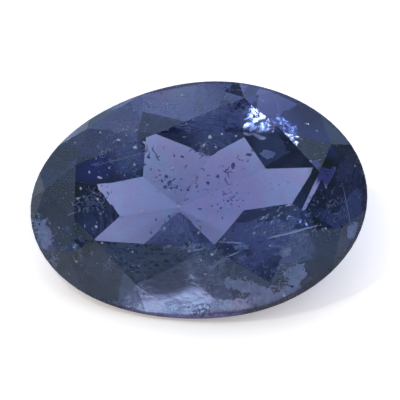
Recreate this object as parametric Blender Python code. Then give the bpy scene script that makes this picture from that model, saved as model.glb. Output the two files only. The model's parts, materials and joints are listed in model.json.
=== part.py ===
"""One loose faceted iolite: an oval gemstone, 10 by 7 mm, cut from a single crystal.

The stone is made the way a cutter makes it. An oval blank comes first, then one flat
facet after another is ground onto it: the pointed underside (the pavilion), then the
upper side (the crown) with its flat top (the table). At the end the finished stone is
laid down on the pavilion facet that it rests on.

While it is being cut the stone stands in its own frame: X along the length of the oval,
Y across it, Z up through the table, and height zero near the middle of the edge band
(the girdle). Azimuths are in degrees from X towards Y. A facet's slope is its angle from
the girdle plane, also in degrees.
"""

import math

import bmesh
import bpy
import numpy as np
from mathutils import Matrix, Vector

MM = 0.001

# The oval outline
LENGTH = 10.0 * MM
WIDTH = 7.0 * MM
BULGE = 0.014  # the oval swells this much towards three sides, as hand shaping leaves it
BULGE_AZIMUTH = 70.0
BLANK_SIDES = 96
BLANK_HEIGHT = 12.0 * MM

# Heights above the girdle plane
TABLE_HEIGHT = 1.45 * MM
GIRDLE_TOP = 0.40 * MM
GIRDLE_FOOT = 0.10 * MM

# The point of the pavilion, off centre as on many hand-cut stones
CULET = Vector((-0.64, -0.11, -3.12)) * MM

# Pavilion mains, which all meet at the culet: azimuth, slope
MAINS = (
    (40.3, 25.5),
    (72.2, 36.7),
    (83.2, 39.0),
    (159.7, 28.7),
    (234.4, 38.5),
    (290.3, 33.9),
)

# Steeper pavilion facets between the mains: azimuth, slope, reach in mm.
# The reach is how far from the centre the facet crosses the girdle plane.
BREAKS = (
    (353.3, 42.5, 4.86),
    (63.8, 41.9, 3.69),
    (80.8, 42.5, 3.41),
    (122.8, 47.8, 3.83),
    (183.4, 42.3, 4.88),
    (258.7, 45.7, 3.33),
    (296.8, 42.0, 3.69),
)
REST_BREAK = 5  # the stone lies on this one of them

# Narrow facets that level the girdle from below: azimuth, slope
GIRDLE_FACETS = ((36, 60), (104, 62), (141, 60), (221, 62), (320, 60))

# The sides of the table: azimuth, distance from the centre in mm
TABLE_SIDES = (
    (-30.0, 2.81),
    (37.0, 3.18),
    (85.5, 2.02),
    (106.0, 2.34),
    (173.0, 3.72),
    (220.0, 3.00),
    (261.0, 1.36),
    (277.0, 1.42),
)

# Azimuth of the large crown facet (bezel) at the corner after each table side
BEZELS = (-5, 60, 96, 140, 194, 243, 267, 300)

# How far down the crown the small facet (star) beside each table side comes to its tip
STAR_DROPS = (0.45, 0.25, 0.42, 0.42, 0.42, 0.42, 0.48, 0.53)

# Each gap between two bezels holds two upper girdle facets, at these shares of the gap
UPPER_GIRDLE_SHARES = (0.30, 0.70)

# Points nearer to a cut than this count as lying on it
ON_PLANE = 0.0001 * MM

# Colour, gloss and refraction of iolite
VIOLET_BLUE = (0.205, 0.223, 0.456, 1.0)
POLISH_ROUGHNESS = 0.05
REFRACTIVE_INDEX = 1.54


def heading(azimuth):
    """Unit direction in the girdle plane at an azimuth."""
    angle = math.radians(azimuth)
    return Vector((math.cos(angle), math.sin(angle)))


def outline_point(angle):
    """Point of the oval outline at a polar angle in radians."""
    along = math.cos(angle) / (LENGTH / 2)
    across = math.sin(angle) / (WIDTH / 2)
    radius = 1.0 / math.hypot(along, across)
    lobes = math.cos(3.0 * (angle - math.radians(BULGE_AZIMUTH)))
    radius *= 1.0 + BULGE * lobes
    return Vector((radius * math.cos(angle), radius * math.sin(angle)))


def outline_reach(azimuth):
    """How far the outline reaches from the centre in one direction."""
    direction = heading(azimuth)
    angles = np.linspace(0.0, math.tau, 8 * BLANK_SIDES, endpoint=False)
    return max(outline_point(angle).dot(direction) for angle in angles)


def facet(azimuth, slope, point, side):
    """A facet as a point and a normal. Side is 1 on the crown and -1 on the pavilion."""
    direction = heading(azimuth)
    angle = math.radians(slope)
    level = math.sin(angle) * direction
    normal = Vector((level.x, level.y, side * math.cos(angle)))
    return Vector(point), normal


def slope_between(rise, run):
    """Slope in degrees of a line that climbs by rise over run."""
    return math.degrees(math.atan2(rise, run))


def meet(planes):
    """The point where three planes meet."""
    normals = np.array([normal for point, normal in planes])
    offsets = np.array([point.dot(normal) for point, normal in planes])
    return Vector(np.linalg.solve(normals, offsets))


def make_blank():
    """The oval blank, a column with the stone's outline."""
    stone = bmesh.new()
    bmesh.ops.create_cone(
        stone,
        cap_ends=True,
        segments=BLANK_SIDES,
        radius1=1.0,
        radius2=1.0,
        depth=BLANK_HEIGHT,
    )
    for vertex in stone.verts:
        angle = math.atan2(vertex.co.y, vertex.co.x)
        vertex.co.x, vertex.co.y = outline_point(angle)
    return stone


def grind(stone, plane):
    """Grind one flat facet: what lies outside the plane goes, and a face closes the cut."""
    point, normal = plane
    result = bmesh.ops.bisect_plane(
        stone,
        geom=stone.verts[:] + stone.edges[:] + stone.faces[:],
        dist=ON_PLANE,
        plane_co=point,
        plane_no=normal,
        clear_outer=True,
    )
    rim = [item for item in result["geom_cut"] if isinstance(item, bmesh.types.BMEdge)]
    bmesh.ops.contextual_create(stone, geom=rim)


def pavilion_planes():
    """The mains through the culet, then the breaks, then the narrow girdle facets."""
    mains = [facet(azimuth, slope, CULET, -1) for azimuth, slope in MAINS]
    breaks = []
    for azimuth, slope, reach in BREAKS:
        crossing = (reach * MM * heading(azimuth)).to_3d()
        breaks.append(facet(azimuth, slope, crossing, -1))
    levelling = []
    for azimuth, slope in GIRDLE_FACETS:
        foot = (outline_reach(azimuth) * heading(azimuth)).to_3d()
        foot.z = GIRDLE_FOOT
        levelling.append(facet(azimuth, slope, foot, -1))
    return mains + breaks + levelling


def crown_planes():
    """The table, then the stars, bezels and upper girdle facets around it."""
    table = (Vector((0.0, 0.0, TABLE_HEIGHT)), Vector((0.0, 0.0, 1.0)))
    table_sides = []
    for azimuth, distance in TABLE_SIDES:
        direction = heading(azimuth).to_3d()
        table_sides.append((distance * MM * direction, direction))

    # A bezel runs from a table corner down to the top of the girdle
    bezels = []
    for index, azimuth in enumerate(BEZELS):
        following = (index + 1) % len(TABLE_SIDES)
        corner = meet((table, table_sides[index], table_sides[following]))
        run = outline_reach(azimuth) - corner.xy.dot(heading(azimuth))
        slope = slope_between(TABLE_HEIGHT - GIRDLE_TOP, run)
        bezels.append(facet(azimuth, slope, corner, 1))

    # A star runs from a table side down to a tip between two bezels, and two
    # upper girdle facets run from that tip down to the girdle
    stars = []
    upper_girdle = []
    for index, (azimuth, distance) in enumerate(TABLE_SIDES):
        drop = STAR_DROPS[index] * (TABLE_HEIGHT - GIRDLE_TOP)
        level = (Vector((0.0, 0.0, TABLE_HEIGHT - drop)), Vector((0.0, 0.0, 1.0)))
        tip = meet((level, bezels[index - 1], bezels[index]))
        run = tip.xy.dot(heading(azimuth)) - distance * MM
        stars.append(facet(azimuth, slope_between(drop, run), tip, 1))

        before = BEZELS[index - 1]
        gap = (BEZELS[index] - before) % 360
        for share in UPPER_GIRDLE_SHARES:
            turned = before + share * gap
            run = outline_reach(turned) - tip.xy.dot(heading(turned))
            slope = slope_between(tip.z - GIRDLE_TOP, run)
            upper_girdle.append(facet(turned, slope, tip, 1))
    return [table] + stars + bezels + upper_girdle


def lay_down(points):
    """Matrix that lays the stone on its resting facet, with its box centred over the origin."""
    azimuth, slope, reach = BREAKS[REST_BREAK]
    turn = Matrix.Rotation(math.radians(-90.0 - azimuth), 4, "Z")
    lean = Matrix.Rotation(math.radians(slope), 4, "X")
    pose = lean @ turn
    placed = np.array([pose @ point for point in points])
    low = placed.min(axis=0)
    high = placed.max(axis=0)
    shift = Vector((-(low[0] + high[0]) / 2, -(low[1] + high[1]) / 2, -low[2]))
    return Matrix.Translation(shift) @ pose


def iolite_material():
    """Clear violet-blue crystal."""
    material = bpy.data.materials.new("iolite")
    material.use_nodes = True
    material.diffuse_color = VIOLET_BLUE
    shader = material.node_tree.nodes["Principled BSDF"]
    shader.inputs["Base Color"].default_value = VIOLET_BLUE
    shader.inputs["Metallic"].default_value = 0.0
    shader.inputs["Roughness"].default_value = POLISH_ROUGHNESS
    shader.inputs["IOR"].default_value = REFRACTIVE_INDEX
    shader.inputs["Transmission Weight"].default_value = 1.0
    return material


def main():
    for old in list(bpy.data.objects):
        bpy.data.objects.remove(old, do_unlink=True)

    collection = bpy.data.collections.new("Faceted iolite")
    bpy.context.scene.collection.children.link(collection)

    stone = make_blank()
    for plane in pavilion_planes() + crown_planes():
        grind(stone, plane)
    bmesh.ops.recalc_face_normals(stone, faces=stone.faces[:])

    mesh = bpy.data.meshes.new("faceted_iolite")
    stone.to_mesh(mesh)
    stone.free()
    mesh.materials.append(iolite_material())

    gem = bpy.data.objects.new("faceted_iolite", mesh)
    gem.matrix_world = lay_down([vertex.co for vertex in mesh.vertices])
    collection.objects.link(gem)


main()
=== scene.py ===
"""Looks of the faceted iolite: the crystal, its flaws, the floor, the light and the camera.

Places on and in the stone are columns and rows of the photo's pixels, which in_picture
carries to the stone along the line of sight. Lengths are in metres, unless a comment
says pixels or millimetres.
"""

import json
import math
import random

import bmesh
import bpy
from mathutils import Matrix, Vector, noise
from mathutils.bvhtree import BVHTree


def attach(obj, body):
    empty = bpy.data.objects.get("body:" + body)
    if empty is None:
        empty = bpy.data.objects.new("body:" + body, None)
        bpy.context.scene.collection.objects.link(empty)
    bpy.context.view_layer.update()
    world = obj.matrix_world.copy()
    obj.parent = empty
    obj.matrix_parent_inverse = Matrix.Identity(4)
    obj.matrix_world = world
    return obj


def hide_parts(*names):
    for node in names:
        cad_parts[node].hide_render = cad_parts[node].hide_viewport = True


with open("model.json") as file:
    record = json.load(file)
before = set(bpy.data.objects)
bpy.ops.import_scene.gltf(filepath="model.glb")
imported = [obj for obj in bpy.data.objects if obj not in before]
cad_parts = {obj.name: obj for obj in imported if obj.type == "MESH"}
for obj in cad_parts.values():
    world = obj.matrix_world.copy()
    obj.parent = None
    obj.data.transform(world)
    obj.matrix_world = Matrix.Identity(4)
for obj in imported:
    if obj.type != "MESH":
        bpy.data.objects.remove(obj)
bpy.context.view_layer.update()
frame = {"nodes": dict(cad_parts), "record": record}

MM = 0.001
scene = bpy.context.scene
stone_node = frame["nodes"]["faceted_iolite"]
table_mount = next(m for m in frame["record"]["mounts"] if m["name"] == "table")
TABLE_NORMAL = Vector(table_mount["axis"]).normalized()
TABLE_HEIGHT = Vector(table_mount["pos_m"]).dot(TABLE_NORMAL)

# Camera
LENS = 1000.0  # millimetres, as is the sensor
SENSOR = 36.0
CLIP_START, CLIP_END = 0.01, 10.0
IMAGE_SIZE = 400.0
PHOTO_LEFT, PHOTO_RIGHT = 30.0, 368.0
PHOTO_TOP, PHOTO_BOTTOM = 81.0, 319.0
ROLL = 6.1  # degrees that the camera is turned, so that the oval leans as in the photo

# The crystal
REFRACTIVE_INDEX = 1.54
SHEEN = (0.75, 0.90, 1.0, 1.0)  # colour of what the polished surface mirrors
ABSORPTION = (345.0, 315.0, 212.0)  # red, green and blue light lost, per metre
ABSORBED = 0.6  # one minus the volume's colour, in the channel that loses most
EDGE_WEAR = 0.012 * MM
MERGE_DISTANCE = 0.001 * MM
FLAT_ANGLE = 0.2  # faces that meet at less than this many degrees are one facet

# Painted shade: a dark band along the ground girdle, which darkens the stone's outline
RIM_TOP, RIM_FOOT = 0.95 * MM, 1.38 * MM  # how far the girdle's edges lie under the table
RIM_FADE = 0.03 * MM
RIM_LEAN = 0.01  # the painted shade reaches higher on the right
RIM_SHADE_COLOUR = (0.13, 0.06, 0.14)

# Faint clouds of colour
VEIL_SCALE = 1.6  # per millimetre
VEIL_EDGES = (0.38, 0.62)  # values of the noise at which it is all lilac and all blue
VEIL_LILAC = (1.0, 0.86, 0.90)
VEIL_BLUE = (0.86, 1.0, 1.0)
VEIL_ROSE = (0.90, 0.64, 0.80)
# colour of the painted shade at the places listed below
PAINTED_SHADE_TINT = (0.01, 0.01, 0.06)

# Unevenness of the surface: scale per millimetre, height in millimetres
WAVES = (1.4, 0.010)
GRAIN = (5.0, 0.012)
HOLLOWS = (4.2, 0.012)

# Scuffs break up into finer spots
SCUFF_SCALE = 7.0  # per millimetre
SCUFF_EDGES = (0.35, 0.65)
SCUFF_LEAST = 0.3
SCUFF_ROUGHNESS = 0.4

# Facets are told apart by their normal's part along the table's normal
TABLE_TILT = 0.999  # the table's lies above this
CROWN_TILT = 0.2  # the crown's above this, and the girdle's between this and its negative
MAINS_TILT = -0.76  # the pavilion mains' below this

# How uneven each kind of facet is, as a share of the roughest
WEAR_TABLE = 0.03
WEAR_CROWN = 0.18
WEAR_MAINS = 0.04

# The steep pavilion facets: their direction in the picture in degrees, how uneven
# they are, and how matt
STEEP_FACETS = (
    (358, 0.5, 0.15),
    (69, 0.2, 0.05),
    (86, 0.6, 0.25),
    (128, 0.12, 0.4),
    (189, 0.6, 0.25),
    (264, 0.3, 0.4),
    (302, 0.6, 0.25),
)

# Scuffed places on the surface: column and row in the photo, radius in mm, strength
SCUFFS = (
    (140, 304, 0.45, 0.5),
    (175, 310, 0.50, 1.0),
    (215, 312, 0.50, 1.0),
    (250, 309, 0.45, 1.0),
    (52, 232, 0.40, 0.6),
    (45, 245, 0.40, 0.6),
    (292, 270, 0.30, 0.6),
)

# Pitted places on the surface: column and row in the photo, radius in mm, unevenness
PITS = (
    (256, 111, 0.40, 0.35),
    (249, 127, 0.28, 2.5),
    (262, 129, 0.35, 2.5),
    (272, 123, 0.28, 2.5),
    (285, 121, 0.50, 0.6),
    (294, 143, 0.30, 0.8),
    (205, 148, 0.40, 0.9),
    (115, 150, 0.70, 0.8),
    (100, 200, 0.60, 0.9),
    (175, 232, 0.60, 0.8),
    (285, 230, 0.90, 0.8),
    (225, 262, 0.80, 0.8),
    (325, 170, 0.45, 1.0),
    (80, 262, 0.90, 0.6),
    (50, 230, 0.60, 0.8),
)

# Rosy places: column and row in the photo, radius in mm, strength
ROSY = (
    (230, 194, 1.3, 0.8),
    (205, 178, 1.4, 0.6),
    (170, 150, 0.7, 0.4),
    (135, 222, 0.9, 0.3),
)

# Places painted darker as painted shade, in the same order of values
PAINTED_SHADE_PLACES = (
    (326, 172, 0.62, 1.0),
    (316, 163, 0.22, 1.0),
    (331, 182, 0.26, 1.0),
    (88, 270, 1.60, 0.40),
    (165, 267, 1.10, 0.85),
    (140, 284, 0.70, 0.6),
    (168, 279, 0.80, 0.9),
    (254, 132, 0.36, 0.7),
)

# Clouds of fine grains: column and row of the middle, half width and half height in
# pixels, number of grains, and their usual size in pixels
FAINT_CLOUDS = (
    (120, 158, 26, 24, 70, 1.6),
    (206, 149, 12, 8, 40, 1.8),
    (98, 200, 16, 16, 45, 1.8),
    (176, 232, 26, 18, 60, 1.7),
    (285, 230, 38, 16, 80, 1.7),
    (225, 258, 45, 22, 60, 1.6),
    (150, 268, 50, 25, 50, 1.5),
    (70, 230, 28, 40, 50, 1.6),
    (200, 110, 70, 25, 60, 1.4),
    (330, 200, 30, 60, 90, 1.5),
    (285, 280, 30, 22, 45, 1.7),
)
PATCH_CLOUDS = (
    (288, 272, 14, 12, 40, 2.2),
    (281, 290, 14, 8, 30, 2.2),
    (298, 291, 14, 5, 30, 2.2),
    (47, 234, 9, 16, 60, 2.2),
    (38, 226, 6, 14, 60, 2.2),
    (54, 262, 6, 10, 40, 2.0),
    (125, 304, 20, 5, 60, 1.8),
    (250, 299, 28, 8, 50, 2.0),
    (205, 309, 22, 6, 70, 2.0),
    (240, 246, 9, 3, 40, 2.0),
    (240, 282, 14, 6, 40, 1.8),
    (195, 245, 12, 5, 30, 1.8),
    (128, 128, 22, 8, 50, 1.8),
    (150, 108, 26, 7, 50, 1.8),
    (108, 262, 12, 8, 30, 1.8),
)
DARK_CLOUDS = (
    (170, 182, 22, 14, 30, 1.5),
    (231, 200, 20, 16, 30, 1.5),
    (235, 165, 18, 10, 14, 1.6),
    (196, 185, 45, 22, 30, 1.3),
    (280, 185, 34, 14, 10, 1.3),
)

# Curly threads: column and row of the middle, half width and half height, number,
# and their usual length and width in pixels
THREAD_CLOUDS = (
    (125, 155, 32, 22, 60, 7.0, 1.0),
    (206, 148, 12, 9, 26, 5.0, 1.0),
    (88, 202, 16, 18, 38, 6.0, 1.0),
    (176, 232, 26, 17, 40, 6.0, 1.0),
    (285, 230, 38, 14, 50, 7.0, 1.0),
    (220, 262, 55, 24, 56, 7.0, 1.0),
    (330, 205, 26, 50, 26, 6.0, 0.8),
    (80, 255, 30, 30, 26, 6.0, 0.8),
    (200, 108, 80, 22, 40, 7.0, 0.8),
)
VEIL_CLOUDS = (
    (226, 172, 14, 8, 6, 5.0, 1.2),
    (231, 196, 14, 7, 7, 5.0, 1.3),
    (195, 182, 40, 20, 12, 5.0, 1.1),
)

# Milky films just under the surface: column and row of the middle, half width and half
# height in pixels, and how many degrees their right end is raised
BLUE_FILMS = (
    (295, 274, 11, 12, 0),
    (286, 294, 20, 7, 28),
    (262, 297, 20, 9, 12),
    (246, 286, 24, 7, -13),
    (285, 252, 6, 5, 25),
    (44, 236, 7, 18, 8),
    (267, 153, 8, 5, 15),
    (352, 230, 6, 11, -10),
)
LILAC_FILMS = (
    (232, 305, 28, 8, 8),
)

# Straight cracks: column and row of both ends, width in pixels
CRACKS = (
    (268.0, 238.0, 317.7, 225.0, 2.6),
    (219.0, 242.0, 244.0, 242.7, 1.2),
    (190.6, 250.7, 203.6, 248.3, 1.4),
    (226.0, 257.0, 240.0, 251.0, 1.3),
    (343.0, 186.0, 353.0, 236.0, 0.9),
    (95.0, 166.0, 150.0, 151.0, 0.9),
)

# Single grains: column, row and size in pixels. The dark ones lie deep in the crystal,
# and the pale specks just under its surface.
DARK_GRAINS = (
    (186, 200, 3.0), (188, 190, 3.5), (196.5, 187, 2.5), (208, 183, 4.0), (218, 176.5, 4.5),
    (233, 166, 6.0), (249, 154.5, 5.0), (253, 150, 3.5), (226, 172, 2.5), (242, 160, 2.0),
    (166.5, 176.5, 5.0), (169.6, 182.8, 6.0), (165, 187, 5.0), (162, 181, 3.5),
    (172, 188, 3.0), (177, 187, 3.5), (160, 175, 2.0), (174, 179, 2.5),
    (148.2, 156.7, 4.0), (158.9, 156.3, 2.0), (174.2, 155.5, 3.0), (182.3, 156.7, 4.0),
    (163.5, 147.5, 2.0), (121.4, 217.2, 2.0), (155.8, 219.5, 3.0), (222.4, 218, 2.5),
    (200, 208.8, 3.5), (221, 208, 3.0), (228, 201, 3.0), (212, 206, 2.0),
)
PALE_SPECKS = (
    (119.0, 140.3, 4), (136.0, 130.5, 3), (135.0, 147.5, 4), (144.3, 142.5, 4), (100.4, 132.7, 3),
    (75.2, 142.5, 3), (67.0, 142.5, 2), (99.9, 177.6, 5), (109.0, 167.8, 3), (89.4, 172.0, 3),
    (80.7, 188.6, 4), (78.0, 198.5, 3), (97.7, 199.0, 4), (124.5, 175.4, 2), (134.4, 164.5, 3),
    (182.0, 95.4, 4), (186.0, 124.0, 2), (119.5, 198.5, 3), (142.0, 211.5, 4), (149.3, 211.5, 2),
    (178.6, 206.0, 4), (172.6, 167.8, 3), (203.3, 162.9, 3), (194.5, 179.4, 3), (210.2, 197.3, 3),
    (266.0, 201.0, 2), (168.8, 190.0, 3), (125.0, 205.0, 2), (96.2, 226.6, 4), (102.1, 242.9, 3),
    (59.3, 227.7, 3), (38.7, 232.0, 3), (76.6, 261.3, 4), (69.0, 273.8, 3), (132.5, 251.6, 3),
    (139.0, 265.7, 3), (144.4, 274.9, 3), (164.5, 228.8, 4), (168.8, 246.2, 5), (164.0, 249.4, 3),
    (190.5, 275.4, 5), (166.0, 276.5, 3), (180.8, 265.7, 3), (198.3, 233.0, 3), (211.9, 254.2, 4),
    (201.2, 260.0, 3), (205.4, 273.7, 3), (269.7, 245.4, 3), (254.3, 233.0, 3), (325.7, 228.3, 3),
    (210.0, 137.0, 5), (222.0, 134.0, 3), (204.0, 145.0, 4), (216.0, 147.0, 3), (236.0, 136.0, 3),
    (307.0, 124.0, 4), (317.0, 131.0, 3), (355.0, 166.0, 3), (189.0, 251.0, 4), (283.8, 295.5, 4),
)

# Where the flaws lie
SKIN = 0.015 * MM  # they stay this far under the surface
THINNEST = 0.3 * MM  # scattered ones keep off the rim, where the stone is thinner than this
STEP_IN = 0.001 * MM  # from the surface to where the line of sight is taken up again
MIDDLE_SHARE = 0.5  # faint ones lie no deeper than this share of the stone's depth there
UPPER_SHARE = 0.3  # nor cracks and pale specks than this

# Each kind of flaw: colour, how metallic and how clear it is
LOOKS = {
    "dark_grains": ((0.55, 0.57, 1.0), 0.0, 0.6),
    "pale_specks": ((0.95, 0.93, 1.0), 1.0, 0.0),
    "faint_grains": ((0.30, 0.36, 0.52), 1.0, 0.0),
    "patch_grains": ((0.50, 0.56, 0.88), 0.0, 0.35),
    "blue_films": ((0.42, 0.52, 0.88), 0.0, 0.30),
    "lilac_films": ((0.66, 0.67, 1.0), 0.0, 0.0),
    "pale_threads": ((0.28, 0.35, 0.54), 1.0, 0.0),
    "cracks": ((0.46, 0.56, 0.82), 1.0, 0.0),
    "veil_threads": ((0.80, 0.72, 1.0), 0.0, 0.9),
}
MOTTLE_SCALE = 9000.0  # per metre
MOTTLE_DARK = 0.6  # share of the colour that the darker spots keep
FLAW_ROUGHNESS = 0.45
FLAW_INDEX = 1.2

# Grains: how thick they are for their width, and the seed of their shapes
GRAIN_SHAPES = {
    "dark_grains": (0.5, 1),
    "pale_specks": (0.25, 2),
    "faint_grains": (0.3, 3),
    "patch_grains": (0.3, 5),
}
GRAIN_STRETCH = (0.7, 1.5)  # how far a grain is drawn out one way, and in the other way
GRAIN_DENTS = (-0.35, 0.25)  # how far a corner moves out, as a share of the half width
GRAIN_SIZES = (0.5, 1.6)  # least and greatest share of a cloud's usual size
DARK_SIZE, DARK_CLOUD_SIZE, SPECK_SIZE = 0.95, 0.85, 0.9  # shares of the sizes above
DARK_SHARES, DARK_CLOUD_SHARES = (0.35, 0.6), (0.2, 0.6)  # of the stone's depth there
DARK_LIMIT = 3 * MM
SPECK_DEPTH = 0.04 * MM
FAINT_DEPTHS = (0.05, 0.5)  # millimetres
PATCH_DEPTHS = (0.04, 0.2)

# Threads and cracks
THREAD_POINTS = 7
THREAD_CURL = 0.7  # most that a thread turns from point to point, in radians
THREAD_WOBBLE = 0.3  # and how much that varies along it
THREAD_LENGTHS = (0.5, 1.5)  # least and greatest share of the usual length
THREAD_WIDTHS = (0.6, 1.5)
THREAD_END = 0.3  # width at the ends, as a share of the middle's
THREAD_THICKNESS = 0.5  # as a share of the width
PALE_THREAD_DEPTHS = (0.05 * MM, 0.5 * MM)
VEIL_THREAD_DEPTHS = (0.3 * MM, 1.5 * MM)
CRACK_POINTS = 9
CRACK_WOBBLE = 0.4  # pixels
CRACK_DEPTH = 0.06 * MM

# Films are made of squares one pixel wide. Their outline is an oval that noise makes
# ragged.
FILM_DEPTH = 0.07 * MM
FILM_THICKNESS = 0.01 * MM
FILM_EDGE = 0.85  # the oval's size, as a share of the half width and height
FILM_REACH = 1.4  # how far out squares are tried, as a share of the same
FILM_BAYS = (0.5, 0.13)  # strength of the coarse noise, and its scale per pixel
FILM_TEETH = (0.2, 0.4)  # and of the fine noise
FILM_DEPTH_SCALE = 0.3
FILM_DEPTH_LAYER = 5  # keeps the depth's noise apart from the outline's
SQUARE = ((0, 0), (1, 0), (1, 1), (0, 1))

# Seeds of the random places. Each kind has its own, so that it can change alone.
PLACE_SEEDS = {
    "dark_grains": 8,
    "faint_grains": 9,
    "patch_grains": 10,
    "pale_threads": 11,
    "cracks": 12,
    "veil_threads": 13,
}

# The floor, and the light that it gives back, with painted light and shade in its glow:
# a painted shadow beside the stone, a bluer painted shadow where the stone hides it,
# painted pools of light under it, and a dimmer glow far off. Places are on the floor,
# and the glow is red, green and blue.
FLOOR_SIZE = 4.0
FLOOR_GAP = 0.015 * MM
FLOOR_ROUGHNESS = 0.9
FLOOR_COLOUR = (0.90, 0.90, 0.90, 1.0)
FLOOR_GLOW = (0.58, 0.51, 0.42)
FLOOR_GLOW_FAR = (0.18, 0.24, 0.28)
FLOOR_FADES = (8.0 * MM, 20.0 * MM)
CONTACT = Vector((0.1, 2.3, 0.0)) * MM  # painted contact shadow: the glow is weaker beside the stone
CONTACT_RADII = (3.9 * MM, 6.4 * MM)
CONTACT_GLOW = 0.45
COVERED = Vector((0.0, 1.9, 0.0)) * MM  # middle of the floor that the stone hides, where the glow is a dimmer, bluer painted shadow
COVERED_RADII = (2.8 * MM, 4.2 * MM)
COVERED_SHADOW_GLOW = (0.18, 0.18, 0.34)
SPOT = Vector((-1.0, 0.7, 0.0)) * MM  # painted pool of light under the stone, standing for light that it gathers
SPOT_RADIUS = 4.0 * MM
SPOT_GLOW = (0.32, 0.35, 0.36)
# a second painted pool of light, under the stone's front
FRONT_SPOT = Vector((-0.3, -0.8, 0.0)) * MM
FRONT_SPOT_RADIUS = 1.4 * MM
FRONT_SPOT_GLOW = (0.45, 0.40, 0.25)

# The sky: its brightness, and between which heights it changes from one to the next
DAYLIGHT = (0.76, 0.95, 1.25, 1.0)
SKY_FRONT = 0.34
SKY_TOP = 0.5
SKY_ZENITH = 0.15
SKY_BRIGHT = 0.9
TOP_BAND = (0.55, 0.9)
ZENITH_BAND = (0.92, 0.965)
BRIGHT_BAND = (0.3, 0.6)
BRIGHT_SIDE = (-0.42, 0.91, 0.0)
BRIGHT_SIDE_BAND = (-0.1, 0.6)

# Lamps: name, azimuth and elevation in degrees, distance and width, radiance, colour.
# Azimuth 0 is behind the stone and 90 to the right.
LAMPS = (
    ("window", 353, 60, 0.50, 0.14, 1.8, (1.0, 1.0, 0.65)),
    ("low_left", 236, 14, 0.50, 0.24, 0.9, (0.9, 0.95, 1.1)),
    ("key", 318, 64, 0.50, 0.40, 0.8, (0.85, 0.88, 1.2)),
    ("back", 16, 36, 0.50, 0.34, 0.7, (0.85, 0.95, 2.0)),
    ("upper_front", 177, 65, 0.50, 0.17, 0.9, (1.0, 1.0, 1.0)),
    ("upper_right", 125, 62, 0.50, 0.20, 1.0, (0.9, 1.0, 1.15)),
    ("fill", 84, 36, 0.50, 0.16, 2.0, (1.0, 1.0, 1.0)),
    ("sparkle_top", 228.5, 61.1, 0.30, 0.010, 450.0, (1.0, 1.0, 0.9)),
    ("sparkle_middle", 240.5, 53, 0.30, 0.008, 300.0, (1.0, 1.0, 0.9)),
    ("sparkle_low", 255.5, 1.8, 0.30, 0.014, 50.0, (0.85, 1.0, 1.1)),
)
LIT_POINT = Vector((0, 0, 2.5 * MM))  # where they are aimed
BOUNCES = 32  # light goes round in the stone many times


# Camera axes: the picture plane is the table's own plane
across = Vector((1, 0, 0))
up = TABLE_NORMAL.cross(across)
turn = Matrix.Rotation(math.radians(ROLL), 3, TABLE_NORMAL)
right_axis = turn @ across
up_axis = turn @ up

points = [vertex.co for vertex in stone_node.data.vertices]
rights = [point.dot(right_axis) for point in points]
ups = [point.dot(up_axis) for point in points]
middle_right = (min(rights) + max(rights)) / 2
middle_up = (min(ups) + max(ups)) / 2
PIXEL = (max(rights) - min(rights)) / (PHOTO_RIGHT - PHOTO_LEFT)


def in_picture(column, row):
    """Point in the table's plane that the camera sees at a pixel of the photo."""
    to_right = column - (PHOTO_LEFT + PHOTO_RIGHT) / 2
    down = row - (PHOTO_TOP + PHOTO_BOTTOM) / 2
    place = right_axis * (middle_right + to_right * PIXEL)
    place += up_axis * (middle_up - down * PIXEL)
    return place + TABLE_NORMAL * TABLE_HEIGHT


def make_camera():
    """Long lens along the table's normal, framed so that the stone fills the photo's box."""
    distance = IMAGE_SIZE * PIXEL * LENS / SENSOR
    data = bpy.data.cameras.new("camera")
    data.lens = LENS
    data.sensor_width = SENSOR
    data.clip_start = CLIP_START
    data.clip_end = CLIP_END
    camera = bpy.data.objects.new("camera", data)
    place = in_picture(IMAGE_SIZE / 2, IMAGE_SIZE / 2) + TABLE_NORMAL * distance
    axes = Matrix((right_axis, up_axis, TABLE_NORMAL)).transposed()
    camera.matrix_world = Matrix.Translation(place) @ axes.to_4x4()
    scene.collection.objects.link(camera)
    scene.camera = camera


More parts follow.
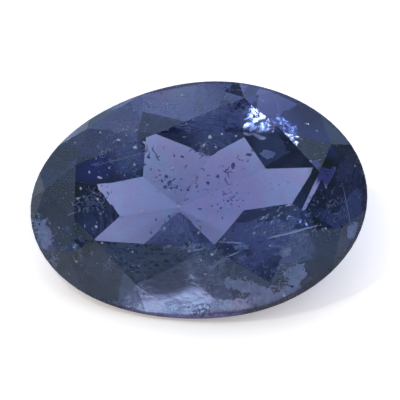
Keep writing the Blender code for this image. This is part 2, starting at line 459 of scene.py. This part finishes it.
class Nodes:
    """Short ways to add and join the nodes of one material."""

    def __init__(self, tree):
        self.tree = tree

    def add(self, kind, **settings):
        node = self.tree.nodes.new(kind)
        for name, value in settings.items():
            setattr(node, name, value)
        return node

    def feed(self, socket, value):
        if isinstance(value, bpy.types.NodeSocket):
            self.tree.links.new(value, socket)
        else:
            socket.default_value = value

    def math(self, operation, first, second=0.0):
        node = self.add("ShaderNodeMath", operation=operation)
        self.feed(node.inputs[0], first)
        self.feed(node.inputs[1], second)
        return node.outputs[0]

    def spread(self, value, low, high, to_low, to_high):
        node = self.add("ShaderNodeMapRange", interpolation_type="SMOOTHSTEP")
        self.feed(node.inputs["Value"], value)
        self.feed(node.inputs["From Min"], low)
        self.feed(node.inputs["From Max"], high)
        self.feed(node.inputs["To Min"], to_low)
        self.feed(node.inputs["To Max"], to_high)
        return node.outputs["Result"]

    def noise(self, place, scale, detail=2.0, roughness=0.5):
        node = self.add("ShaderNodeTexNoise")
        self.feed(node.inputs["Vector"], place)
        self.feed(node.inputs["Scale"], scale)
        self.feed(node.inputs["Detail"], detail)
        self.feed(node.inputs["Roughness"], roughness)
        return node.outputs[0]

    def vector(self, operation, first, second):
        node = self.add("ShaderNodeVectorMath", operation=operation)
        self.feed(node.inputs[0], first)
        self.feed(node.inputs["Scale" if operation == "SCALE" else 1], second)
        return node.outputs["Value" if operation in ("DISTANCE", "DOT_PRODUCT") else "Vector"]

    def distance(self, first, second):
        return self.vector("DISTANCE", first, second)

    def plus(self, first, second):
        return self.vector("ADD", first, second)

    def times(self, vector, number):
        return self.vector("SCALE", vector, number)

    def mix(self, share, first, second):
        """Mix of two vectors: sockets 4 and 5 and output 1 are this node's vector ones."""
        node = self.add("ShaderNodeMix", data_type="VECTOR")
        self.feed(node.inputs[0], share)
        self.feed(node.inputs[4], first)
        self.feed(node.inputs[5], second)
        return node.outputs[1]

    def near(self, place, centre, radius, strength):
        """Strength within half the radius of a point, fading to nothing at the radius."""
        apart = self.distance(place, centre / MM)
        return self.spread(apart, radius * 0.5, radius, strength, 0.0)

    def attribute(self, name):
        return self.add("ShaderNodeAttribute", attribute_name=name).outputs["Fac"]


def crystal_material(scuffs, pits, veils, shaded_places):
    """Clear violet-blue crystal: plain transmission, refraction and absorption."""
    material = bpy.data.materials.new("iolite_crystal")
    material.use_nodes = True
    tree = material.node_tree
    n = Nodes(tree)
    shader = tree.nodes["Principled BSDF"]
    shader.inputs["IOR"].default_value = REFRACTIVE_INDEX
    shader.inputs["Transmission Weight"].default_value = 1.0
    shader.inputs["Specular Tint"].default_value = SHEEN

    # What is absorbed is the density times one minus the colour
    density = max(ABSORPTION) / ABSORBED
    absorption = n.add("ShaderNodeVolumeAbsorption")
    absorption.inputs["Density"].default_value = density
    absorption.inputs["Color"].default_value = (*[1 - lost / density for lost in ABSORPTION], 1)
    n.feed(tree.nodes["Material Output"].inputs["Volume"], absorption.outputs["Volume"])

    # Coordinates in millimetres
    place = n.times(n.add("ShaderNodeTexCoord").outputs["Object"], 1 / MM)
    wear = n.attribute("wear")
    frost = n.attribute("frost")
    pitted = 0.0
    for centre, radius, strength in pits:
        pitted = n.math("MAXIMUM", pitted, n.near(place, centre, radius, strength))

    # Hand polishing leaves facets a little wavy, and some places are pitted
    waves = n.math("MULTIPLY", n.noise(place, WAVES[0], 1.0), WAVES[1])
    grain = n.math("MULTIPLY", n.noise(place, GRAIN[0], 1.0), GRAIN[1])
    hollows = n.math("MULTIPLY", n.noise(place, HOLLOWS[0], 0.0), HOLLOWS[1])
    height = n.math("MULTIPLY", n.math("ADD", waves, grain), wear)
    height = n.math("ADD", height, n.math("MULTIPLY", hollows, pitted))
    bump = n.add("ShaderNodeBump")
    bump.inputs["Strength"].default_value = 1.0
    bump.inputs["Distance"].default_value = MM
    n.feed(bump.inputs["Height"], height)
    n.feed(shader.inputs["Normal"], bump.outputs["Normal"])

    # Painted shade sits in a dark band along the ground girdle, darkening the outline
    height_up = n.vector("DOT_PRODUCT", place, TABLE_NORMAL - right_axis * RIM_LEAN)
    top = (TABLE_HEIGHT - RIM_TOP) / MM
    foot = (TABLE_HEIGHT - RIM_FOOT) / MM
    fade = RIM_FADE / MM
    above_rim = n.spread(height_up, top - fade, top, 0.0, 1.0)
    below_rim = n.spread(height_up, foot, foot + fade, 1.0, 0.0)
    outside_rim_band = n.math("MAXIMUM", above_rim, below_rim)

    # Faint lilac and blue veils, with rosy places, and places darkened with painted shade
    broad = n.spread(n.noise(place, VEIL_SCALE, 3.0, 0.6), *VEIL_EDGES, 0.0, 1.0)
    veil = n.mix(broad, VEIL_LILAC, VEIL_BLUE)
    for centre, radius, strength in veils:
        veil = n.mix(n.near(place, centre, radius, strength), veil, VEIL_ROSE)
    # painted shade darkens these places
    for centre, radius, strength in shaded_places:
        veil = n.mix(n.near(place, centre, radius, strength), veil, PAINTED_SHADE_TINT)
    # the girdle band takes the dark colour of the painted shade
    n.feed(shader.inputs["Base Color"], n.mix(outside_rim_band, RIM_SHADE_COLOUR, veil))

    # The girdle is ground, not polished, and some places are scuffed
    scuffed = n.math("MAXIMUM", frost, n.math("SUBTRACT", 1.0, outside_rim_band))
    for centre, radius, strength in scuffs:
        scuffed = n.math("MAXIMUM", scuffed, n.near(place, centre, radius, strength))
    spots = n.noise(place, SCUFF_SCALE, 3.0, 0.7)
    broken = n.spread(spots, *SCUFF_EDGES, SCUFF_LEAST, 1.0)
    rough = n.math("MULTIPLY", n.math("MULTIPLY", scuffed, broken), SCUFF_ROUGHNESS)
    n.feed(shader.inputs["Roughness"], rough)
    return material


def steep_facet(normal):
    """The values of the steep facet whose direction in the picture is nearest."""
    towards = math.degrees(math.atan2(normal.dot(up_axis), normal.dot(right_axis)))
    return min(STEEP_FACETS, key=lambda facet: abs((facet[0] - towards + 180) % 360 - 180))


def add_face_values(shape):
    """Marks how uneven and how matt each facet is."""
    wear = shape.faces.layers.float.new("wear")
    frost = shape.faces.layers.float.new("frost")
    for face in shape.faces:
        tilt = face.normal.dot(TABLE_NORMAL)
        if tilt > TABLE_TILT:
            face[wear] = WEAR_TABLE
        elif tilt > CROWN_TILT:
            face[wear] = WEAR_CROWN
        elif tilt > MAINS_TILT:
            face[wear], face[frost] = steep_facet(face.normal)[1:]
        else:
            face[wear] = WEAR_MAINS
        if abs(tilt) < CROWN_TILT:
            face[frost] = 1.0


def make_stone():
    """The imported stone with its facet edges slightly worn. Returns its surface."""
    mesh = stone_node.data.copy()
    mesh.name = "iolite_crystal"
    shape = bmesh.new()
    shape.from_mesh(mesh)
    bmesh.ops.remove_doubles(shape, verts=shape.verts, dist=MERGE_DISTANCE)
    bmesh.ops.dissolve_limit(
        shape, angle_limit=math.radians(FLAT_ANGLE), verts=shape.verts, edges=shape.edges
    )
    bmesh.ops.bevel(
        shape,
        geom=shape.edges[:],
        offset=EDGE_WEAR,
        offset_type="OFFSET",
        segments=1,
        affect="EDGES",
        clamp_overlap=True,
    )
    bmesh.ops.recalc_face_normals(shape, faces=shape.faces[:])
    for face in shape.faces:
        face.smooth = False
    shape.normal_update()
    add_face_values(shape)
    tree = BVHTree.FromBMesh(shape)
    shape.to_mesh(mesh)
    shape.free()
    marks = []
    for places in (SCUFFS, PITS, ROSY, PAINTED_SHADE_PLACES):
        marks.append([(on_surface(tree, *place[:2]), *place[2:]) for place in places])
    mesh.materials.clear()
    mesh.materials.append(crystal_material(*marks))
    stone = bpy.data.objects.new("iolite_crystal", mesh)
    scene.collection.objects.link(stone)
    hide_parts("faceted_iolite")
    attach(stone, "root")
    return tree


def through_stone(tree, column, row):
    """Where the line of sight at a pixel enters the stone, and how deep the stone is there."""
    start = in_picture(column, row) + TABLE_NORMAL * MM
    top = tree.ray_cast(start, -TABLE_NORMAL)[0]
    if top is None:
        return None, 0.0
    bottom = tree.ray_cast(top - TABLE_NORMAL * STEP_IN, -TABLE_NORMAL)[0]
    return top, (bottom - top).length if bottom else 0.0


def on_surface(tree, column, row):
    """Point on the stone that the camera sees at a pixel."""
    return through_stone(tree, column, row)[0]


def inside(tree, column, row, share, limit):
    """Point inside the stone, at a share of its depth but no deeper than the limit."""
    top, depth = through_stone(tree, column, row)
    return top - TABLE_NORMAL * min(share * depth, limit)


def too_thin(tree, column, row):
    """Whether a pixel misses the stone, or meets it near the rim."""
    return through_stone(tree, column, row)[1] < THINNEST


def flaw_material(name):
    """Slightly mottled material with the looks of one kind of flaw."""
    colour, silvery, clearness = LOOKS[name]
    material = bpy.data.materials.new(name)
    material.use_nodes = True
    tree = material.node_tree
    n = Nodes(tree)
    shader = tree.nodes["Principled BSDF"]
    place = n.add("ShaderNodeTexCoord").outputs["Object"]
    mottle = n.add("ShaderNodeMixRGB")
    n.feed(mottle.inputs["Fac"], n.noise(place, MOTTLE_SCALE))
    mottle.inputs["Color1"].default_value = (*colour, 1)
    mottle.inputs["Color2"].default_value = (*[MOTTLE_DARK * part for part in colour], 1)
    n.feed(shader.inputs["Base Color"], mottle.outputs["Color"])
    shader.inputs["Roughness"].default_value = FLAW_ROUGHNESS
    shader.inputs["Metallic"].default_value = silvery
    shader.inputs["IOR"].default_value = FLAW_INDEX
    shader.inputs["Transmission Weight"].default_value = clearness
    return material


def keep_inside(tree, shape):
    """Moves points that reach the stone's surface back under it."""
    for vertex in shape.verts:
        nearest, normal = tree.find_nearest(vertex.co)[:2]
        if (vertex.co - nearest).dot(normal) > -SKIN:
            vertex.co = nearest - normal * SKIN


def add_flaws(tree, name, shape):
    """Makes the flaws of one kind a piece of the scene."""
    keep_inside(tree, shape)
    mesh = bpy.data.meshes.new(name)
    shape.to_mesh(mesh)
    shape.free()
    mesh.materials.append(flaw_material(name))
    piece = bpy.data.objects.new(name, mesh)
    scene.collection.objects.link(piece)
    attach(piece, "root")


def make_grains(tree, name, places):
    """Small angular grains joined in one piece. A place is a point and a width."""
    flatness, seed = GRAIN_SHAPES[name]
    chance = random.Random(seed)
    axes = Matrix((right_axis, up_axis, TABLE_NORMAL)).transposed().to_4x4()
    shape = bmesh.new()
    for centre, width in places:
        lean = chance.uniform(0, math.tau)
        stretch = chance.uniform(*GRAIN_STRETCH)
        pose = Matrix.Translation(centre) @ axes @ Matrix.Rotation(lean, 4, "Z")
        pose @= Matrix.Diagonal((stretch, 1 / stretch, flatness, 1))
        made = bmesh.ops.create_icosphere(shape, subdivisions=1, radius=width / 2, matrix=pose)
        for vertex in made["verts"]:
            vertex.co += (vertex.co - centre) * chance.uniform(*GRAIN_DENTS)
    for face in shape.faces:
        face.smooth = False
    add_flaws(tree, name, shape)


def add_thread(shape, points, width):
    """A thin flat tube along some points, thinner at its ends."""
    rings = []
    last = len(points) - 1
    for index, point in enumerate(points):
        ahead = points[min(index + 1, last)] - points[max(index - 1, 0)]
        side = ahead.cross(TABLE_NORMAL).normalized()
        swell = math.sin(math.pi * (index + 0.5) / (last + 1))
        half = width / 2 * (THREAD_END + (1 - THREAD_END) * swell)
        over = TABLE_NORMAL * THREAD_THICKNESS
        offsets = (side, over, -side, -over)
        rings.append([shape.verts.new(point + offset * half) for offset in offsets])
    for first, second in zip(rings, rings[1:]):
        for corner in range(4):
            beside = (corner + 1) % 4
            shape.faces.new((first[corner], first[beside], second[beside], second[corner]))
    shape.faces.new(rings[0][::-1])
    shape.faces.new(rings[-1])


def make_threads(tree, name, threads):
    """Thin threads joined in one piece. A thread is its points and its width."""
    shape = bmesh.new()
    for points, width in threads:
        add_thread(shape, points, width)
    bmesh.ops.recalc_face_normals(shape, faces=shape.faces[:])
    add_flaws(tree, name, shape)


def film_corner(tree, shape, corners, column, row):
    """The film's point at a pixel, made once, or None where the stone is too thin."""
    if (column, row) not in corners:
        if too_thin(tree, column, row):
            return None
        spot = Vector((column, row, FILM_DEPTH_LAYER))
        depth = FILM_DEPTH * (1 + noise.noise(spot * FILM_DEPTH_SCALE))
        place = inside(tree, column, row, MIDDLE_SHARE, depth)
        corners[column, row] = shape.verts.new(place)
    return corners[column, row]


def raggedness(spot):
    """How much further out, or in, a film's outline seems at a pixel."""
    bays, fine = FILM_BAYS, FILM_TEETH
    return bays[0] * noise.noise(spot * bays[1]) + fine[0] * noise.noise(spot * fine[1])


def add_film(tree, shape, column, row, half_width, half_height, lean):
    """A ragged oval sheet of squares just under the surface."""
    turned = Matrix.Rotation(math.radians(lean), 2)
    reach = int(FILM_REACH * max(half_width, half_height))
    corners = {}
    for at_column in range(column - reach, column + reach):
        for at_row in range(row - reach, row + reach):
            from_middle = turned @ Vector((at_column - column, at_row - row))
            far = math.hypot(from_middle.x / half_width, from_middle.y / half_height)
            spot = Vector((at_column, at_row, 0))
            far += raggedness(spot)
            if far > FILM_EDGE or too_thin(tree, at_column, at_row):
                continue
            square = []
            for step_right, step_down in SQUARE:
                corner = film_corner(
                    tree, shape, corners, at_column + step_right, at_row + step_down
                )
                if corner is None:
                    break
                square.append(corner)
            if len(square) == len(SQUARE):
                shape.faces.new(square)


def make_films(tree, name, films):
    """Thin ragged sheets joined in one piece."""
    shape = bmesh.new()
    for film in films:
        add_film(tree, shape, *film)

    # Where two squares touch at a corner alone, one of them goes
    corner_only = dict.fromkeys(
        vertex.link_faces[0]
        for vertex in shape.verts
        if sum(edge.is_boundary for edge in vertex.link_edges) > 2
    )
    bmesh.ops.delete(shape, geom=list(corner_only), context="FACES")
    shape.normal_update()
    bmesh.ops.solidify(shape, geom=shape.faces[:], thickness=FILM_THICKNESS)
    loose = [vertex for vertex in shape.verts if not vertex.link_faces]
    bmesh.ops.delete(shape, geom=loose, context="VERTS")
    bmesh.ops.recalc_face_normals(shape, faces=shape.faces[:])
    add_flaws(tree, name, shape)


def scattered(tree, column, row, half_width, half_height, number, chance):
    """Random places in an oval of the picture, more of them near its middle."""
    places = []
    for _ in range(number):
        turned = chance.uniform(0, math.tau)
        far = chance.uniform(0, 1)
        at_column = column + half_width * far * math.cos(turned)
        at_row = row + half_height * far * math.sin(turned)
        if not too_thin(tree, at_column, at_row):
            places.append((at_column, at_row))
    return places


def cloud(tree, clouds, chance):
    """Grains of each cloud, as column, row and size."""
    grains = []
    for *oval_and_number, size in clouds:
        for place in scattered(tree, *oval_and_number, chance):
            grains.append((*place, size * chance.uniform(*GRAIN_SIZES)))
    return grains


def curls(tree, clouds, chance, depths):
    """Curly threads, scattered in each cloud like its grains."""
    threads = []
    for *oval_and_number, length, width in clouds:
        for column, row in scattered(tree, *oval_and_number, chance):
            heading = chance.uniform(0, math.tau)
            curl = chance.uniform(-THREAD_CURL, THREAD_CURL)
            step = length * chance.uniform(*THREAD_LENGTHS) / (THREAD_POINTS - 1)
            depth = chance.uniform(*depths)
            points = []
            for _ in range(THREAD_POINTS):
                if too_thin(tree, column, row):
                    break
                points.append(inside(tree, column, row, MIDDLE_SHARE, depth))
                column += step * math.cos(heading)
                row += step * math.sin(heading)
                heading += curl + chance.uniform(-THREAD_WOBBLE, THREAD_WOBBLE)
            if len(points) > 2:
                threads.append((points, width * chance.uniform(*THREAD_WIDTHS) * PIXEL))
    return threads


def cracks(tree, chance):
    """Nearly straight threads, one for each crack."""
    threads = []
    for from_column, from_row, to_column, to_row, width in CRACKS:
        points = []
        for index in range(CRACK_POINTS):
            share = index / (CRACK_POINTS - 1)
            column = from_column + (to_column - from_column) * share
            row = from_row + (to_row - from_row) * share
            column += chance.uniform(-CRACK_WOBBLE, CRACK_WOBBLE)
            row += chance.uniform(-CRACK_WOBBLE, CRACK_WOBBLE)
            points.append(inside(tree, column, row, UPPER_SHARE, CRACK_DEPTH))
        threads.append((points, width * PIXEL))
    return threads


def dark_grains(tree, chance):
    """The single dark grains and the clouds of smaller ones, deep in the stone."""
    places = []
    for column, row, size in DARK_GRAINS:
        place = inside(tree, column, row, chance.uniform(*DARK_SHARES), DARK_LIMIT)
        places.append((place, size * DARK_SIZE * PIXEL))
    for column, row, size in cloud(tree, DARK_CLOUDS, chance):
        place = inside(tree, column, row, chance.uniform(*DARK_CLOUD_SHARES), DARK_LIMIT)
        places.append((place, size * DARK_CLOUD_SIZE * PIXEL))
    return places


def pale_specks(tree):
    """The single pale specks, just under the surface."""
    places = []
    for column, row, size in PALE_SPECKS:
        place = inside(tree, column, row, UPPER_SHARE, SPECK_DEPTH)
        places.append((place, size * SPECK_SIZE * PIXEL))
    return places


def fine_grains(tree, clouds, chance, depths):
    """The grains of some clouds, at random depths in millimetres."""
    places = []
    for column, row, size in cloud(tree, clouds, chance):
        place = inside(tree, column, row, MIDDLE_SHARE, chance.uniform(*depths) * MM)
        places.append((place, size * PIXEL))
    return places


def make_flaws(tree):
    """All the flaws inside the stone."""
    chances = {name: random.Random(seed) for name, seed in PLACE_SEEDS.items()}
    make_grains(tree, "dark_grains", dark_grains(tree, chances["dark_grains"]))
    make_grains(tree, "pale_specks", pale_specks(tree))
    for name, clouds, depths in (
        ("faint_grains", FAINT_CLOUDS, FAINT_DEPTHS),
        ("patch_grains", PATCH_CLOUDS, PATCH_DEPTHS),
    ):
        make_grains(tree, name, fine_grains(tree, clouds, chances[name], depths))
    make_films(tree, "blue_films", BLUE_FILMS)
    make_films(tree, "lilac_films", LILAC_FILMS)
    pale = curls(tree, THREAD_CLOUDS, chances["pale_threads"], PALE_THREAD_DEPTHS)
    make_threads(tree, "pale_threads", pale)
    make_threads(tree, "cracks", cracks(tree, chances["cracks"]))
    veils = curls(tree, VEIL_CLOUDS, chances["veil_threads"], VEIL_THREAD_DEPTHS)
    make_threads(tree, "veil_threads", veils)


def make_floor():
    """Pale floor just under the stone, which glows a little to light it from below. Its glow
    carries painted light and shade: a painted shadow beside the stone, a bluer painted shadow
    under it, and painted pools of light.
    """
    bpy.ops.mesh.primitive_plane_add(size=FLOOR_SIZE, location=(0, 0, -FLOOR_GAP))
    floor = bpy.context.object
    floor.name = "floor"
    material = bpy.data.materials.new("floor")
    material.use_nodes = True
    n = Nodes(material.node_tree)
    shader = material.node_tree.nodes["Principled BSDF"]
    shader.inputs["Base Color"].default_value = FLOOR_COLOUR
    shader.inputs["Roughness"].default_value = FLOOR_ROUGHNESS
    shader.inputs["Specular IOR Level"].default_value = 0.0
    place = n.add("ShaderNodeNewGeometry").outputs["Position"]
    # Painted light and shade in the glow: a bluer painted shadow under the stone, a painted
    # contact shadow beside it, and painted pools of light
    covered_shadow = n.spread(n.distance(place, COVERED), *COVERED_RADII, 1.0, 0.0)
    spot = n.spread(n.distance(place, SPOT), 0.0, SPOT_RADIUS, 1.0, 0.0)
    contact_shadow = n.spread(n.distance(place, CONTACT), *CONTACT_RADII, CONTACT_GLOW, 1.0)
    faded = n.spread(n.distance(place, COVERED), *FLOOR_FADES, 0.0, 1.0)
    glow = n.times(n.mix(faded, FLOOR_GLOW, FLOOR_GLOW_FAR), contact_shadow)
    front = n.spread(n.distance(place, FRONT_SPOT), 0.0, FRONT_SPOT_RADIUS, 1.0, 0.0)
    painted_pools = n.plus(n.times(SPOT_GLOW, spot), n.times(FRONT_SPOT_GLOW, front))
    glow = n.mix(covered_shadow, glow, n.plus(COVERED_SHADOW_GLOW, painted_pools))
    n.feed(shader.inputs["Emission Color"], glow)
    shader.inputs["Emission Strength"].default_value = 1.0
    floor.data.materials.append(material)


def lamp(name, azimuth, elevation, distance, size, radiance, colour):
    """Round soft lamp aimed at the stone, which the camera doesn't see."""
    heading = math.radians(azimuth)
    height = math.radians(elevation)
    direction = Vector((
        math.sin(heading) * math.cos(height),
        math.cos(heading) * math.cos(height),
        math.sin(height),
    ))
    data = bpy.data.lights.new(name, "AREA")
    data.shape = "DISK"
    data.size = size
    data.color = colour
    data.energy = radiance * math.pi * math.pi * (size / 2) ** 2
    light = bpy.data.objects.new(name, data)
    light.location = LIT_POINT + direction * distance
    light.rotation_mode = "QUATERNION"
    light.rotation_quaternion = direction.to_track_quat("Z", "Y")
    light.visible_camera = False
    scene.collection.objects.link(light)


def make_light():
    """Soft room light, brighter from behind the stone than from the front, and the lamps."""
    world = bpy.data.worlds.new("room")
    scene.world = world
    world.use_nodes = True
    n = Nodes(world.node_tree)
    background = world.node_tree.nodes["Background"]
    split = n.add("ShaderNodeSeparateXYZ")
    direction = n.add("ShaderNodeTexCoord").outputs["Generated"]
    n.feed(split.inputs["Vector"], direction)
    facing = n.vector("DOT_PRODUCT", direction, BRIGHT_SIDE)
    height = split.outputs["Z"]
    above = n.spread(height, *TOP_BAND, SKY_FRONT, SKY_TOP)
    above = n.spread(height, *ZENITH_BAND, above, SKY_ZENITH)
    behind = n.spread(height, *BRIGHT_BAND, SKY_BRIGHT, above)
    strength = n.spread(facing, *BRIGHT_SIDE_BAND, above, behind)
    n.feed(background.inputs["Strength"], strength)
    background.inputs["Color"].default_value = DAYLIGHT
    for values in LAMPS:
        lamp(*values)


make_camera()
surface = make_stone()
make_flaws(surface)
make_floor()
make_light()

scene.view_settings.view_transform = "Standard"
scene.cycles.max_bounces = BOUNCES
scene.cycles.transmission_bounces = BOUNCES
scene.cycles.glossy_bounces = BOUNCES
scene.cycles.sample_clamp_indirect = 0.0
